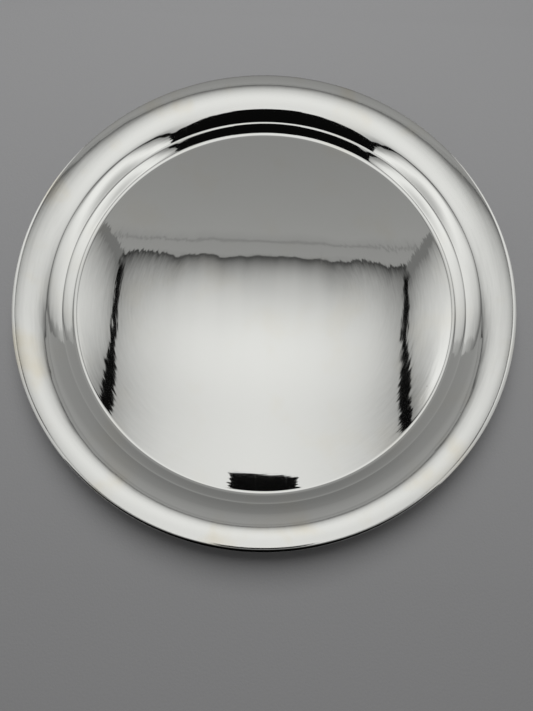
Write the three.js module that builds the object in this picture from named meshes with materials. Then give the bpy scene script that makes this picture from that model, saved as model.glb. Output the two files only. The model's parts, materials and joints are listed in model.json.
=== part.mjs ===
// A round serving tray, spun from one sheet of metal, with a wire inside its rolled edge.
// Millimetres, +Z up. The origin is the middle of the underside, on the table.

import * as THREE from 'three';

// Driving dimensions: the sheet and the floor of the tray
const SHEET = 0.8;
const FLOOR_DIAMETER = 237;
const FLOOR_FILLET = 4;

// Driving dimensions: the two walls, with a crease between them. Slopes are degrees from level.
// Both walls bulge a little, so each slope is given at the wall's foot. The lower wall ends in a small
// lip, and the height of the crease, where the upper wall starts, says how far up that is.
const LOWER_WALL_SLOPE = 43;
const LOWER_WALL_BULGE_RADIUS = 200;
const LIP_RADIUS = 8;
const LIP_SLOPE = 33.5;
const CREASE_HEIGHT = 5;
const CREASE_FILLET = 1;
const UPPER_WALL_SLOPE = 45;
const UPPER_WALL_BULGE_RADIUS = 117;

// Driving dimensions: the shoulder and the flared rim, which flattens towards its edge
const SHOULDER_SLOPE = 41.5;
const SHOULDER_RADIUS = 16;
const RIM_SLOPE = 32;
const RIM_RADIUS = 43;
const RIM_EDGE_SLOPE = 9;

// Driving dimensions: the wire and the edge that is rolled round it
const WIRE_DIAMETER = 1.5;
const WIRE_CLEARANCE = 0.3;
const WIRE_END_GAP = 0.6;
const ROLL_SLIT = 0.4;

// Fineness of the facets
const CHORD_ERROR = 0.05;
const FACETS_ROUND = 72;
const WIRE_SIDES = 8;

const radians = THREE.MathUtils.degToRad;

// The upper face of the sheet, drawn from the floor's edge outwards as tangent arcs.
// Each point keeps the slope there, so that the lower face can be set off from it squarely.
class SheetProfile {
  constructor(radius, height) {
    this.slope = 0;
    this.points = [{ radius, height, slope: 0 }];
  }

  get end() {
    return this.points[this.points.length - 1];
  }

  // An arc that ends at a given slope: it turns upwards to a greater slope, downwards to a lesser one.
  arc(bendRadius, endSlope) {
    const turn = endSlope - this.slope;
    const side = Math.sign(turn);
    const centre = arcCentre(this.end, bendRadius, side);
    const finestStep = 2 * Math.acos(1 - Math.min(1, CHORD_ERROR / bendRadius));
    const steps = Math.ceil(Math.abs(turn) / finestStep);
    const startSlope = this.slope;
    for (let step = 1; step <= steps; step += 1) {
      const slope = startSlope + (turn * step) / steps;
      this.points.push({
        radius: centre.radius + side * bendRadius * Math.sin(slope),
        height: centre.height - side * bendRadius * Math.cos(slope),
        slope,
      });
    }
    this.slope = endSlope;
    return this;
  }
}

function arcCentre(point, bendRadius, side) {
  return {
    radius: point.radius - side * bendRadius * Math.sin(point.slope),
    height: point.height + side * bendRadius * Math.cos(point.slope),
  };
}

function below(point, depth) {
  const radius = point.radius + depth * Math.sin(point.slope);
  const height = point.height - depth * Math.cos(point.slope);
  return new THREE.Vector2(radius, height);
}

// The roll is a circle round the wire. Its tip stops short of the rim's lower face by the slit.
const rollInside = WIRE_DIAMETER / 2 + WIRE_CLEARANCE;
const rollOutside = rollInside + SHEET;
const tipLift = Math.asin((rollInside - ROLL_SLIT) / rollOutside);
const rollTurn = 1.5 * Math.PI + tipLift;

// The slope where the lower wall turns into its lip follows from the height of the crease.
const footSlope = radians(LOWER_WALL_SLOPE);
const lipSlope = radians(LIP_SLOPE);
const filletHeight = FLOOR_FILLET * (1 - Math.cos(footSlope));
const wallAndLipHeight = CREASE_HEIGHT - filletHeight;
const levelParts = LOWER_WALL_BULGE_RADIUS * Math.cos(footSlope) - LIP_RADIUS * Math.cos(lipSlope);
const radiusChange = LOWER_WALL_BULGE_RADIUS - LIP_RADIUS;
const lipStartSlope = Math.acos((wallAndLipHeight + levelParts) / radiusChange);
const rimEdgeSlope = radians(RIM_EDGE_SLOPE);

const profile = new SheetProfile(FLOOR_DIAMETER / 2, SHEET)
  .arc(FLOOR_FILLET, footSlope)
  .arc(LOWER_WALL_BULGE_RADIUS, lipStartSlope)
  .arc(LIP_RADIUS, lipSlope)
  .arc(CREASE_FILLET, radians(UPPER_WALL_SLOPE))
  .arc(UPPER_WALL_BULGE_RADIUS, radians(SHOULDER_SLOPE))
  .arc(SHOULDER_RADIUS, radians(RIM_SLOPE))
  .arc(RIM_RADIUS, rimEdgeSlope);

const rollCentre = arcCentre(profile.end, rollOutside, -1);
profile.arc(rollOutside, rimEdgeSlope - rollTurn);

// The tray: out along the lower face, round the tip of the roll, and back along the upper face
function traySheet() {
  const lowerFace = profile.points.map((point) => below(point, SHEET));
  const upperFace = profile.points.map((point) => below(point, 0)).reverse();
  const underFloor = new THREE.Vector2(0, 0);
  const overFloor = new THREE.Vector2(0, SHEET);
  const outline = [underFloor, ...lowerFace, ...upperFace, overFloor];
  const geometry = new THREE.LatheGeometry(outline, FACETS_ROUND);
  geometry.rotateX(Math.PI / 2);
  return geometry;
}

// The line of the wire: once round the tray inside the roll, up to a small gap between its two ends
class WireLoop extends THREE.Curve {
  getPoint(along, target = new THREE.Vector3()) {
    const halfGap = WIRE_END_GAP / 2 / rollCentre.radius;
    const angle = THREE.MathUtils.lerp(halfGap, 2 * Math.PI - halfGap, along);
    const x = rollCentre.radius * Math.cos(angle);
    const y = rollCentre.radius * Math.sin(angle);
    return target.set(x, y, rollCentre.height);
  }
}

function rimWire() {
  const section = new THREE.Shape();
  section.absarc(0, 0, WIRE_DIAMETER / 2, 0, 2 * Math.PI);
  return new THREE.ExtrudeGeometry(section, {
    steps: FACETS_ROUND,
    curveSegments: WIRE_SIDES / 2,
    bevelEnabled: false,
    extrudePath: new WireLoop(),
  });
}

const silverPlate = new THREE.MeshStandardMaterial({ color: '#d8d8d2', roughness: 0.06, metalness: 1 });
const brassWire = new THREE.MeshStandardMaterial({ color: '#b08d57', roughness: 0.4, metalness: 1 });

function piece(name, geometry, material) {
  const mesh = new THREE.Mesh(geometry, material);
  mesh.name = name;
  return mesh;
}

const tray = new THREE.Group();
tray.add(piece('tray_sheet', traySheet(), silverPlate));
tray.add(piece('rim_wire', rimWire(), brassWire));

export default tray;
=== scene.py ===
# %% [markdown]
# # A mirror-polished serving tray
# The tray is one sheet of metal, spun to shape, silvered and polished, with a wire in its rolled edge.
# The packed model gives the frame: where the tray stands and how large it is. This lesson draws the
# same sheet again with smooth curves, because a mirror shows every facet, and then gives it its finish.

# %% Load the frame
import json
import math

import bmesh
import bpy
from mathutils import Matrix, Vector

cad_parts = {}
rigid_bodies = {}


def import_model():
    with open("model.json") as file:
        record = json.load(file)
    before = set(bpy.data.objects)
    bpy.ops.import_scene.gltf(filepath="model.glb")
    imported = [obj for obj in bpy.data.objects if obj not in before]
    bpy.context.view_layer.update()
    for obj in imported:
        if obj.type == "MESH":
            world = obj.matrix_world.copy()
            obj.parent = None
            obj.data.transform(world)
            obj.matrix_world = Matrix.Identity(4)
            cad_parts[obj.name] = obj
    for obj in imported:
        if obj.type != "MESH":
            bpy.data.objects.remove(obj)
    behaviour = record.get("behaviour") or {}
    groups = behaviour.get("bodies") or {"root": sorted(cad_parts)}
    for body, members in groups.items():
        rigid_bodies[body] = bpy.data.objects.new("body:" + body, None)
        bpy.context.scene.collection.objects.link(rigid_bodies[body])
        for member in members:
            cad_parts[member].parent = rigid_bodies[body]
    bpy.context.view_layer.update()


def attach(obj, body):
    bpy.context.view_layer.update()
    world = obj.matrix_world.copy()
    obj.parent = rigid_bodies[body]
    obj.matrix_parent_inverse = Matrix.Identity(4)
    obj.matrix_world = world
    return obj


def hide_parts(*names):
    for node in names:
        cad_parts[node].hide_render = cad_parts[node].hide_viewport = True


for leftover in list(bpy.data.objects):
    bpy.data.objects.remove(leftover)
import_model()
MM = 0.001

# %% [markdown]
# ## The camera
# The photograph looks down on the tray from a little in front of it. The place and the tilt were worked
# out from the ellipses of the rim and the floor: a circle's ellipse narrows with tilt, and two circles
# at different heights shift against each other. The lens is the wide one of a hand-held camera, and its
# axis passes a little below the middle of the picture, as in a picture that was trimmed at the bottom.

# %% Camera
CAMERA_PLACE = (1.5 * MM, -119.8 * MM, 292.4 * MM)
CAMERA_TILT = math.radians(10.9)
LONG_SIDE_PIXELS = 711
AXIS_BELOW_MIDDLE_PIXELS = 44.2
FOCAL_PIXELS = 486.8
SENSOR_MM = 36.0

camera_data = bpy.data.cameras.new("camera")
camera_data.sensor_width = SENSOR_MM
camera_data.lens = SENSOR_MM * FOCAL_PIXELS / LONG_SIDE_PIXELS
camera_data.shift_y = AXIS_BELOW_MIDDLE_PIXELS / LONG_SIDE_PIXELS
camera = bpy.data.objects.new("camera", camera_data)
camera.location = CAMERA_PLACE
camera.rotation_euler = (CAMERA_TILT, 0.0, 0.0)
bpy.context.scene.collection.objects.link(camera)
bpy.context.scene.camera = camera
bpy.context.scene.view_settings.view_transform = "Standard"
print("lens, mm:", round(camera_data.lens, 2))

# %% [markdown]
# ## The outline of the sheet
# A spun tray is the same all the way round, so half of its cross-section says everything. The upper face
# is drawn from the middle outwards with a pen of two strokes: a straight stroke extrudes the last vertex,
# and a bend spins it about the centre of an arc, so that every join is tangent.

# %% A pen that draws with vertices
class OutlinePen:
    """Draws a line of edges in the XZ plane; its slope is the angle from level."""

    def __init__(self, start):
        self.bm = bmesh.new()
        self.tip = self.bm.verts.new(start)
        self.slope = 0.0

    def straight(self, length, steps=1):
        stroke = Vector((math.cos(self.slope), 0.0, math.sin(self.slope))) * (length / steps)
        for _ in range(steps):
            self.tip = bmesh.ops.extrude_vert_indiv(self.bm, verts=[self.tip])["verts"][0]
            bmesh.ops.translate(self.bm, verts=[self.tip], vec=stroke)

    def bend_centre(self, radius, side):
        square = Vector((-math.sin(self.slope), 0.0, math.cos(self.slope)))
        return self.tip.co + square * (radius * side)

    def bend(self, radius, end_slope, steps):
        turn = end_slope - self.slope
        centre = self.bend_centre(radius, math.copysign(1.0, turn))
        spun = bmesh.ops.spin(self.bm, geom=[self.tip], cent=centre, axis=(0, -1, 0),
                              angle=turn, steps=steps)
        self.tip = next(part for part in spun["geom_last"] if isinstance(part, bmesh.types.BMVert))
        self.slope = end_slope


# %% Draw the upper face of the sheet
SHEET = 0.8 * MM
FLOOR_RADIUS = 118.5 * MM
FLOOR_FILLET = 4.0 * MM
LOWER_WALL_SLOPE = math.radians(43)
LOWER_WALL_BULGE_RADIUS = 200.0 * MM
LIP_RADIUS = 8.0 * MM
LIP_SLOPE = math.radians(33.5)
CREASE_HEIGHT = 5.0 * MM
CREASE_FILLET = 1.0 * MM
UPPER_WALL_SLOPE = math.radians(45)
UPPER_WALL_BULGE_RADIUS = 117.0 * MM
SHOULDER_SLOPE = math.radians(41.5)
SHOULDER_RADIUS = 16.0 * MM
RIM_SLOPE = math.radians(32)
RIM_RADIUS = 43.0 * MM
RIM_EDGE_SLOPE = math.radians(9)
WIRE_RADIUS = 0.75 * MM
WIRE_CLEARANCE = 0.3 * MM
ROLL_SLIT = 0.4 * MM
FLOOR_SUPPORT = 0.5 * MM

roll_inside = WIRE_RADIUS + WIRE_CLEARANCE
roll_outside = roll_inside + SHEET
roll_turn = 1.5 * math.pi + math.asin((roll_inside - ROLL_SLIT) / roll_outside)
bends_height = FLOOR_FILLET * (1 - math.cos(LOWER_WALL_SLOPE)) + LIP_RADIUS * math.cos(LIP_SLOPE)
bulge_end = CREASE_HEIGHT - bends_height + LOWER_WALL_BULGE_RADIUS * math.cos(LOWER_WALL_SLOPE)
lip_start_slope = math.acos(bulge_end / (LOWER_WALL_BULGE_RADIUS - LIP_RADIUS))

pen = OutlinePen((0.0, 0.0, SHEET))
pen.straight(FLOOR_RADIUS - FLOOR_SUPPORT, steps=6)
pen.straight(FLOOR_SUPPORT)
pen.bend(FLOOR_FILLET, LOWER_WALL_SLOPE, steps=10)
pen.bend(LOWER_WALL_BULGE_RADIUS, lip_start_slope, steps=4)
pen.bend(LIP_RADIUS, LIP_SLOPE, steps=5)
pen.bend(CREASE_FILLET, UPPER_WALL_SLOPE, steps=8)
pen.bend(UPPER_WALL_BULGE_RADIUS, SHOULDER_SLOPE, steps=6)
pen.bend(SHOULDER_RADIUS, RIM_SLOPE, steps=8)
pen.bend(RIM_RADIUS, RIM_EDGE_SLOPE, steps=20)
roll_centre = pen.bend_centre(roll_outside, -1.0)
pen.bend(roll_outside, RIM_EDGE_SLOPE - roll_turn, steps=24)
print("outline vertices:", len(pen.bm.verts))

# %% [markdown]
# ## The spun sheet
# Spinning the outline once round the axis does what the lathe did to the real sheet. The doubled vertices
# in the middle are merged, the faces are turned to look up, and only then does the sheet get its thickness
# underneath, so that the rolled edge curls round an open space for the wire.

# %% Spin the tray and give it its thickness
ROUND_STEPS = 360
MERGE_DISTANCE = 0.001 * MM
SHARP_ANGLE = math.radians(50)


def mesh_piece(name, bm):
    """Turns a finished bmesh into a smooth-shaded object in the scene."""
    mesh = bpy.data.meshes.new(name)
    bm.to_mesh(mesh)
    bm.free()
    mesh.shade_smooth()
    mesh.set_sharp_from_angle(angle=SHARP_ANGLE)
    piece = bpy.data.objects.new(name, mesh)
    bpy.context.scene.collection.objects.link(piece)
    return piece


sheet = pen.bm
bmesh.ops.spin(sheet, geom=sheet.verts[:] + sheet.edges[:], cent=(0, 0, 0), axis=(0, 0, 1),
               angle=2 * math.pi, steps=ROUND_STEPS, use_merge=True)
bmesh.ops.remove_doubles(sheet, verts=sheet.verts[:], dist=MERGE_DISTANCE)
bmesh.ops.recalc_face_normals(sheet, faces=sheet.faces[:])
sheet.faces.ensure_lookup_table()
middle_face = min(sheet.faces, key=lambda face: face.calc_center_median().xy.length)
if middle_face.normal.z < 0:
    bmesh.ops.reverse_faces(sheet, faces=sheet.faces[:])
bmesh.ops.solidify(sheet, geom=sheet.faces[:], thickness=SHEET)
tray = mesh_piece("tray", sheet)
lowest = min(vertex.co.z for vertex in tray.data.vertices)
print("tray faces:", len(tray.data.polygons), "lowest, mm:", round(lowest / MM, 3))

# %% [markdown]
# ## The wire in the rim
# A thin sheet has a weak edge, so the edge is rolled round a wire. The wire is a hoop with a small gap
# where its ends meet: a circle, spun almost all the way round, with its two ends closed.

# %% Wire
WIRE_SIDES = 16
WIRE_END_GAP = 0.6 * MM

hoop = bmesh.new()
upright = Matrix.Rotation(math.radians(90), 4, "X")
gap_angle = WIRE_END_GAP / roll_centre.x
start = Matrix.Rotation(gap_angle / 2, 4, "Z") @ Matrix.Translation(roll_centre) @ upright
bmesh.ops.create_circle(hoop, segments=WIRE_SIDES, radius=WIRE_RADIUS, matrix=start)
bmesh.ops.spin(hoop, geom=hoop.verts[:] + hoop.edges[:], cent=(0, 0, 0), axis=(0, 0, 1),
               angle=2 * math.pi - gap_angle, steps=ROUND_STEPS)
bmesh.ops.holes_fill(hoop, edges=[edge for edge in hoop.edges if edge.is_boundary])
bmesh.ops.recalc_face_normals(hoop, faces=hoop.faces[:])
wire = mesh_piece("wire", hoop)
print("wire faces:", len(wire.data.polygons))

# %% [markdown]
# ## Arithmetic on sockets
# A finish is a sum of small effects, and a sum reads best as one. This class holds one output of a node.
# Arithmetic on it adds Math nodes, and its one method adds any other node.

# %% Socket class
class Flow:
    """One output of a node in a material."""

    def __init__(self, tree, socket):
        self.tree = tree
        self.socket = socket

    def node(self, kind, settings=None, inputs=None, output=0):
        made = self.tree.nodes.new(kind)
        for name, value in (settings or {}).items():
            setattr(made, name, value)
        for key, value in (inputs or {}).items():
            if isinstance(value, Flow):
                self.tree.links.new(value.socket, made.inputs[key])
            else:
                made.inputs[key].default_value = value
        return Flow(self.tree, made.outputs[output])

    def math(self, operation, *values, clamp=False):
        return self.node("ShaderNodeMath", {"operation": operation, "use_clamp": clamp},
                         dict(enumerate(values)))

    def __add__(self, other):
        return self.math("ADD", self, other)

    __radd__ = __add__

    def __sub__(self, other):
        return self.math("SUBTRACT", self, other)

    def __rsub__(self, other):
        return self.math("SUBTRACT", other, self)

    def __mul__(self, other):
        return self.math("MULTIPLY", self, other)

    __rmul__ = __mul__

    def __truediv__(self, other):
        return self.math("DIVIDE", self, other)


def new_finish(name):
    """A material with only an output, and the coordinates of the object."""
    material = bpy.data.materials.new(name)
    material.use_nodes = True
    tree = material.node_tree
    tree.nodes.clear()
    tree.nodes.new("ShaderNodeOutputMaterial")
    place = tree.nodes.new("ShaderNodeTexCoord").outputs["Object"]
    return material, Flow(tree, place)


def show(flow):
    """Sends a shader to the material's output."""
    output = next(node for node in flow.tree.nodes if node.bl_idname == "ShaderNodeOutputMaterial")
    flow.tree.links.new(flow.socket, output.inputs["Surface"])


print("socket operators:", [name for name in vars(Flow) if name.startswith("__r")])

# %% [markdown]
# ## Silver plate
# Polished silver is a mirror first: metallic, nearly white, hardly rough. What makes it real is what the
# making and the use left. The floor is not quite flat, so straight things look wavy in it. The polishing
# wheel left rings of slightly different tilt, which pull the edges of reflections into strands, and a cloth
# left straight strokes in the middle. The rim carries short cross marks and a breath of cream tarnish, and
# a few pits and hairlines are spread all over.

# %% Helpers for round patterns
def polar(place):
    """Distance from the axis, and the outward and sideways directions there."""
    flat = place.node("ShaderNodeVectorMath", {"operation": "MULTIPLY"}, {0: place, 1: (1, 1, 0)})
    radius = flat.node("ShaderNodeVectorMath", {"operation": "LENGTH"}, {0: flat}, output="Value")
    outward = flat.node("ShaderNodeVectorMath", {"operation": "NORMALIZE"}, {0: flat})
    sideways = flat.node("ShaderNodeVectorMath", {"operation": "CROSS_PRODUCT"},
                         {0: (0, 0, 1), 1: outward})
    return radius, outward, sideways


def ring_noise(radius, outward, reach, pitch, shift, detail):
    """Noise of about 6 * reach patches round the tray and one per pitch across it, with no seam."""
    turned = outward.node("ShaderNodeVectorMath", {"operation": "SCALE"}, {0: outward, "Scale": reach})
    across = radius.node("ShaderNodeCombineXYZ", {}, {"Z": radius / pitch + shift})
    spot = turned.node("ShaderNodeVectorMath", {"operation": "ADD"}, {0: turned, 1: across})
    return noise(spot, 1.0, detail)


def noise(spot, scale, detail):
    """Soft noise about 0.5, with one patch per 1 / scale."""
    return spot.node("ShaderNodeTexNoise", {}, {"Vector": spot, "Scale": scale, "Detail": detail},
                     output="Fac")


def ramp(flow, start, end, low=0.0, high=1.0):
    """Goes smoothly from low at the start to high at the end, and stays there."""
    return flow.node("ShaderNodeMapRange", {"interpolation_type": "SMOOTHSTEP"},
                     {"Value": flow, "From Min": start, "From Max": end, "To Min": low, "To Max": high})


def moved(place, turn, stretch):
    """The place in a frame that is turned about the axis and stretched, for lines in one direction."""
    return place.node("ShaderNodeMapping", {},
                      {"Vector": place, "Rotation": (0, 0, turn), "Scale": stretch})


helpers = (polar, ring_noise, noise, ramp, moved)
print("pattern helpers:", [helper.__name__ for helper in helpers])

# %% Unevenness: waves, rings and strokes as one normal
WAVE_SCALE = 19.0
WAVE_HEIGHT = 0.28 * MM
RING_REACH = 8.0
RING_PITCH = 1.1 * MM
RING_TILT = 0.032
RING_FAINT = 20.0 * MM
RING_STRONG = 118.0 * MM
STROKE_STRETCH = (800.0, 90.0, 1.0)
STROKE_TILT = 0.004
STROKE_END = 70.0 * MM
MARK_REACH = 110.0
MARK_PITCH = 9.0 * MM
MARK_TILT = 0.010
DISH_START = 96.0 * MM
DISH_TILT = 0.006


def uneven_normal(place, radius, outward, sideways, on_rim):
    """The mirror's normal, tilted a little by what the making left."""
    height = noise(place, WAVE_SCALE, 1.0) * WAVE_HEIGHT
    waves = place.node("ShaderNodeBump", {}, {"Distance": 1.0, "Height": height})
    along = ring_noise(radius, outward, RING_REACH, RING_PITCH, 0.0, 2.0) - 0.5
    across = ring_noise(radius, outward, RING_REACH, RING_PITCH, 50.0, 2.0) - 0.5
    marks = ring_noise(radius, outward, MARK_REACH, MARK_PITCH, 90.0, 1.0) - 0.5
    strokes = noise(moved(place, 0.0, STROKE_STRETCH), 1.0, 1.0) - 0.5
    middle = ramp(radius, STROKE_END, 0.0)
    dish = ramp(radius, DISH_START, FLOOR_RADIUS) * ramp(radius, FLOOR_RADIUS + 1 * MM, FLOOR_RADIUS)
    rings = ramp(radius, RING_FAINT, RING_STRONG, 0.0, RING_TILT)
    tilts = ((sideways, along * rings), (outward, across * rings * 0.5 - dish * DISH_TILT),
             (outward, marks * MARK_TILT * on_rim), ((0, 1, 0), strokes * STROKE_TILT * middle))
    total = waves
    for direction, amount in tilts:
        part = place.node("ShaderNodeVectorMath", {"operation": "SCALE"}, {0: direction, "Scale": amount})
        total = place.node("ShaderNodeVectorMath", {"operation": "ADD"}, {0: total, 1: part})
    return place.node("ShaderNodeVectorMath", {"operation": "NORMALIZE"}, {0: total})


print("ring pitch, mm:", round(RING_PITCH / MM, 2), "wave height, mm:", round(WAVE_HEIGHT / MM, 2))

# %% Silver finish
SILVER = (0.948, 0.953, 0.918, 1.0)
TARNISH = (0.93, 0.89, 0.77, 1.0)
PIT = (0.42, 0.40, 0.37, 1.0)
RIM_START = 132.0 * MM
RIM_END = 142.0 * MM
FLOOR_ROUGHNESS = 0.03
RIM_ROUGHNESS = 0.075
TARNISH_SCALE = 29.0
PIT_CELLS = 70.0
PIT_SIZE = 0.035
HAIRLINE_STRETCH = (700.0, 9.0, 1.0)
HAIRLINE_TURNS = (0.5, 1.9)


def mixed(place, amount, first, second):
    """A colour between two others."""
    return place.node("ShaderNodeMix", {"data_type": "RGBA"}, {0: amount, 6: first, 7: second}, output=2)


def silver_finish():
    material, place = new_finish("silver_plate")
    radius, outward, sideways = polar(place)
    on_rim = ramp(radius, RIM_START, RIM_END)
    normal = uneven_normal(place, radius, outward, sideways, on_rim)

    stain = ramp(noise(place, TARNISH_SCALE, 3.0), 0.50, 0.72) * (0.25 + 0.75 * on_rim)
    cell = {"Vector": place, "Scale": PIT_CELLS}
    near_pit = place.node("ShaderNodeTexVoronoi", {}, cell, output="Distance")
    cell_colour = place.node("ShaderNodeTexVoronoi", {}, cell, output="Color")
    lot = place.node("ShaderNodeSeparateColor", {}, {0: cell_colour})
    pits = ramp(near_pit, PIT_SIZE, 0.5 * PIT_SIZE) * ramp(lot, 0.80, 0.82)
    hairlines = 0.0
    for turn in HAIRLINE_TURNS:
        hairlines = ramp(noise(moved(place, turn, HAIRLINE_STRETCH), 1.0, 0.0), 0.76, 0.82) + hairlines

    colour = mixed(place, pits, mixed(place, stain, SILVER, TARNISH), PIT)
    roughness = FLOOR_ROUGHNESS + on_rim * (RIM_ROUGHNESS - FLOOR_ROUGHNESS)
    roughness = roughness + stain * 0.03 + pits * 0.3 + hairlines * 0.03
    show(place.node("ShaderNodeBsdfPrincipled", {}, {
        "Base Color": colour, "Metallic": 1.0, "Roughness": roughness, "Normal": normal}))
    return material


tray.data.materials.append(silver_finish())
print("silver nodes:", len(tray.data.materials[0].node_tree.nodes))

# %% [markdown]
# ## Drawn brass wire
# The wire only shows through the slit under the rim. It is bare brass with the lengthwise lines of the
# drawing die, and darker where it has oxidised.

# %% Brass finish
BRASS = (0.62, 0.47, 0.24, 1.0)
OXIDE = (0.25, 0.17, 0.08, 1.0)


def brass_finish():
    material, place = new_finish("drawn_brass")
    radius, outward, _ = polar(place)
    lines = ring_noise(radius, outward, 3.0, 0.08 * MM, 0.0, 1.0)
    stains = noise(place, 90.0, 4.0)
    colour = mixed(place, stains, BRASS, OXIDE)
    drawn = place.node("ShaderNodeBump", {}, {"Distance": 1.0, "Height": lines * (0.004 * MM)})
    show(place.node("ShaderNodeBsdfPrincipled", {}, {
        "Base Color": colour, "Metallic": 1.0, "Roughness": 0.3 + stains * 0.25, "Normal": drawn}))
    return material


wire.data.materials.append(brass_finish())
print("brass nodes:", len(wire.data.materials[0].node_tree.nodes))

# %% [markdown]
# ## Floor and soft light
# The tray stands on a plain pale floor under one large soft lamp. The floor is clear from below and has an
# opening under the tray, so that the underside can be looked at too. A mirror has no look of its own: it
# shows what is around it. So white and grey cards stand round the tray as in a small light tent, seen only
# in reflections. The cards glow with painted light, and their darker parts are painted shade. The cloth at
# the back seam hangs unevenly. The seams at the sides are painted dark gaps that close towards the back
# corners, and the front is painted darkness with a band of grey painted light. The lamp lights the floor.

# %% Floor and lamp
FLOOR_COLOUR = (0.36, 0.36, 0.365, 1.0)
FLOOR_REACH = 6.0
FLOOR_OPENING = 112.0 * MM
FLOOR_DROP = 0.2 * MM
FLOOR_SIDES = 90
LAMP_HEIGHT = 0.9
LAMP_BACK = 0.52
LAMP_SIZE = 0.8
LAMP_WATTS = 7.4
SKY = 0.135

ground = OutlinePen((FLOOR_OPENING, 0.0, -FLOOR_DROP))
ground.straight(FLOOR_REACH - FLOOR_OPENING)
bmesh.ops.spin(ground.bm, geom=ground.bm.verts[:] + ground.bm.edges[:], cent=(0, 0, 0), axis=(0, 0, 1),
               angle=2 * math.pi, steps=FLOOR_SIDES, use_merge=True)
bmesh.ops.recalc_face_normals(ground.bm, faces=ground.bm.faces[:])
if next(iter(ground.bm.faces)).normal.z < 0:
    bmesh.ops.reverse_faces(ground.bm, faces=ground.bm.faces[:])
floor = mesh_piece("floor", ground.bm)


def floor_finish():
    material, place = new_finish("pale_floor")
    grain = noise(place, 700.0, 2.0)
    woven = place.node("ShaderNodeBump", {}, {"Distance": 1.0, "Height": grain * (0.1 * MM)})
    matt = place.node("ShaderNodeBsdfPrincipled", {}, {
        "Base Color": FLOOR_COLOUR, "Roughness": 0.9, "Normal": woven})
    clear = place.node("ShaderNodeBsdfTransparent")
    behind = place.node("ShaderNodeNewGeometry", output="Backfacing")
    show(place.node("ShaderNodeMixShader", {}, {0: behind, 1: matt, 2: clear}))
    return material


floor.data.materials.append(floor_finish())

lamp_data = bpy.data.lights.new("soft_lamp", "AREA")
lamp_data.size = LAMP_SIZE
lamp_data.energy = LAMP_WATTS
lamp = bpy.data.objects.new("soft_lamp", lamp_data)
lamp.location = (0.0, LAMP_BACK, LAMP_HEIGHT)
lamp.rotation_euler = (-math.atan2(LAMP_BACK, LAMP_HEIGHT), 0.0, 0.0)
lamp.visible_glossy = False
bpy.context.scene.collection.objects.link(lamp)

world = bpy.data.worlds.new("soft_sky")
world.use_nodes = True
world.node_tree.nodes["Background"].inputs["Color"].default_value = (1.0, 1.0, 1.0, 1.0)
world.node_tree.nodes["Background"].inputs["Strength"].default_value = SKY
bpy.context.scene.world = world
print("lamp, W:", LAMP_WATTS, "floor faces:", len(floor.data.polygons))

# %% A card
TENT_TURN = math.radians(3)


def card(name, low, high, shade):
    """A flat card between two corners, seen only in reflections; shade gives its light from its place."""
    low, high = Vector(low), Vector(high)
    spread = (high - low) / 2
    flat = [axis for axis in range(3) if abs(spread[axis]) < MERGE_DISTANCE][0]
    turn = {0: Matrix.Rotation(math.radians(90), 4, "Y"), 1: Matrix.Rotation(math.radians(90), 4, "X"),
            2: Matrix.Identity(4)}[flat]
    bm = bmesh.new()
    bmesh.ops.create_grid(bm, x_segments=1, y_segments=1, size=1.0, matrix=turn)
    bmesh.ops.scale(bm, verts=bm.verts[:], vec=spread)
    bmesh.ops.translate(bm, verts=bm.verts[:], vec=(low + high) / 2)
    bmesh.ops.rotate(bm, verts=bm.verts[:], matrix=Matrix.Rotation(-TENT_TURN, 3, "Z"))
    made = mesh_piece(name, bm)
    material, place = new_finish(name)
    place = moved(place, TENT_TURN, (1.0, 1.0, 1.0))
    x, y, z = (place.node("ShaderNodeSeparateXYZ", {}, {0: place}, output=axis) for axis in "XYZ")
    show(place.node("ShaderNodeEmission", {}, {"Color": shade(x, y, z), "Strength": 1.0}))
    made.data.materials.append(material)
    made.visible_camera = made.visible_diffuse = made.visible_shadow = made.visible_transmission = False
    return made


def fading(distance, reach):
    """One at distance nought, and fading away over the reach."""
    return distance.math("EXPONENT", distance / -reach)


print("tent turned, degrees:", round(math.degrees(TENT_TURN), 1))

# %% Cards of the light tent
TENT_LEFT = -220.0 * MM
TENT_RIGHT = 195.5 * MM
TENT_BACK = 218.5 * MM
TENT_FRONT = -165.0 * MM
TENT_TOP = 362.0 * MM
SEAM = 5.0 * MM
GAPE = 15.0 * MM
JOIN_START = 8.0 * MM
JOIN_END = 26.0 * MM
HEM = 40.0 * MM
HEM_GREY = 0.265
PAINTED_BAND_GREY = 0.3
SAG_MIDDLE = 3.0 * MM
SAG_RANGE = 34.0 * MM
SAG_SCALE = 17.0
CORNER_FOLD = 16.0 * MM
HELD_HEIGHT = 294.4 * MM
HELD_LOW = (-38.6 * MM, -243.7 * MM, HELD_HEIGHT)
HELD_HIGH = (44.3 * MM, -95.7 * MM, HELD_HEIGHT)


def sag(x):
    """How far the cloth at the back seam hangs out of line."""
    along = x.node("ShaderNodeCombineXYZ", {}, {"X": x})
    return SAG_MIDDLE + (noise(along, SAG_SCALE, 2.0) - 0.5) * SAG_RANGE


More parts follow.
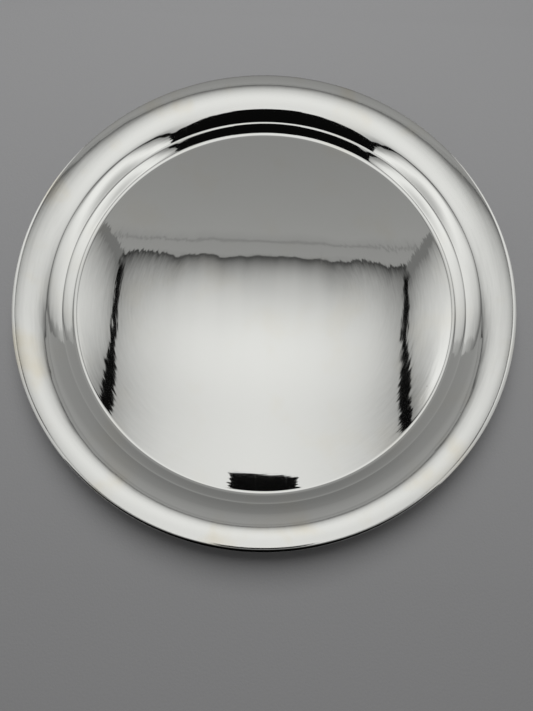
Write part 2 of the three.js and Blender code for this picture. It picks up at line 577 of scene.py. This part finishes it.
def ceiling_shade(x, y, z):
    """Painted light of white cloth, with painted shade towards the back seam, the sides and the front, and
    painted dark gaps along both sides.
    """
    sides = x.math("MINIMUM", x - TENT_LEFT, TENT_RIGHT - x)
    from_seam = TENT_BACK - y - sag(x)
    back = from_seam.math("MAXIMUM", from_seam, 0.0)
    # Painted shade: a dark line along the back seam.
    seam = 1 - 0.6 * fading(back, 4.0 * MM)
    gape = ramp(y, 110.0 * MM, -10.0 * MM, SEAM, GAPE)
    lit = 0.88 * (1 - 0.93 * fading(back, 60.0 * MM)) * (1 - 0.55 * fading(sides - gape, 54.0 * MM))
    lit = lit * ramp(y, 110.0 * MM, -30.0 * MM, 1.0, 0.85)
    # Painted darkness in the gaps along the sides, which close towards the back.
    gap = ramp(sides - gape, 3.0 * MM, 0.0) * ramp(back, JOIN_START, JOIN_END)
    lit = lit * seam * (1 - 0.99 * gap)
    hanging = ramp(from_seam, 1.0 * MM, -1.0 * MM)
    return lit + hanging * (HEM_GREY - lit)


def wall_shade(x, y, z):
    """Painted light of white cloth, with painted shade at the back, at its foot, at its top and towards the
    front, and a painted highlight streak high up towards the front.
    """
    back = TENT_BACK - y
    high = ramp(z, 110.0 * MM, 250.0 * MM, 0.45, 1.0)
    # Painted shade in the fold of the cloth near the back corner.
    fold_shade = 1 - 0.35 * high * ramp(back, CORNER_FOLD + 10.0 * MM, CORNER_FOLD)
    height = 1.2 - 0.75 * fading(TENT_TOP - z, 90.0 * MM) - 0.5 * fading(z, 70.0 * MM)
    lit = 0.86 * (1 - 0.95 * high * fading(back, 90.0 * MM)) * height * fold_shade
    # Painted highlight: a lighter streak high up towards the front, with painted shade elsewhere towards
    # the front.
    above = z - ramp(y, 110.0 * MM, -60.0 * MM, 205.0 * MM, 290.0 * MM)
    glow = ramp(above, -55.0 * MM, 0.0) * ramp(above, 65.0 * MM, 10.0 * MM)
    near_front = ramp(y, 110.0 * MM, -10.0 * MM)
    lit = lit * (1 + near_front * (0.58 * glow - 0.42))
    # Painted darkness in the gap along the top.
    gap = ramp(TENT_TOP - z, SEAM + 1.0 * MM, SEAM) * ramp(back, JOIN_START, JOIN_END)
    return lit.math("MAXIMUM", lit, 0.16) * (1 - 0.99 * gap)


def back_shade(x, y, z):
    """Painted light of grey cloth, brighter upwards, with painted shade at its foot; a little darker below
    the hem at its top, with a dark line along the hem.
    """
    from_hem = z - (TENT_TOP - HEM) - 0.7 * sag(x)
    edge = ramp(from_hem.math("ABSOLUTE", from_hem), 6.0 * MM, 0.0)
    middle = ramp(x.math("ABSOLUTE", x), 130.0 * MM, 60.0 * MM)
    low = ramp(z, 110.0 * MM, 20.0 * MM) * middle
    # Painted light: brighter upwards; painted shade: darker at the foot in the middle.
    return 0.20 + z * 0.30 - ramp(from_hem, -30.0 * MM, 0.0) * 0.03 - edge * 0.06 - low * 0.04


def dark_shade(x, y, z):
    """Nearly black: painted darkness for the open front, and the dark of what is held over the tray."""
    return 0.001 + z * 0.005


def front_shade(x, y, z):
    """Painted darkness of the open front above and at the table, with a band of grey painted light between.
    """
    # A band of grey painted light for reflections, over painted darkness.
    painted_band = ramp(z, 34.0 * MM, 115.0 * MM) * ramp(z, 240.0 * MM, 215.0 * MM)
    return dark_shade(x, y, z) + PAINTED_BAND_GREY * painted_band


left, right, top = TENT_LEFT, TENT_RIGHT, TENT_TOP
front, back = TENT_FRONT, TENT_BACK
card("ceiling_card", (left, front, top), (right, back, top), ceiling_shade)
card("left_card", (left, front, 0), (left, back, top), wall_shade)
card("right_card", (right, front, 0), (right, back, top), wall_shade)
card("back_card", (left, back, 0), (right, back, top), back_shade)
card("front_card", (left, front, 0), (right, front, top), front_shade)
card("camera_card", HELD_LOW, HELD_HIGH, dark_shade)

# %% [markdown]
# ## Hand the pieces to the frame
# The tray has no moving parts, so both pieces ride on its one body. Each stands for its packed solid,
# which is hidden.

# %% Ride and replace
for piece, node, slot in ((tray, "tray_sheet", "silver_plate"), (wire, "rim_wire", "brass_wire")):
    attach(piece, "root")
    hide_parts(node)
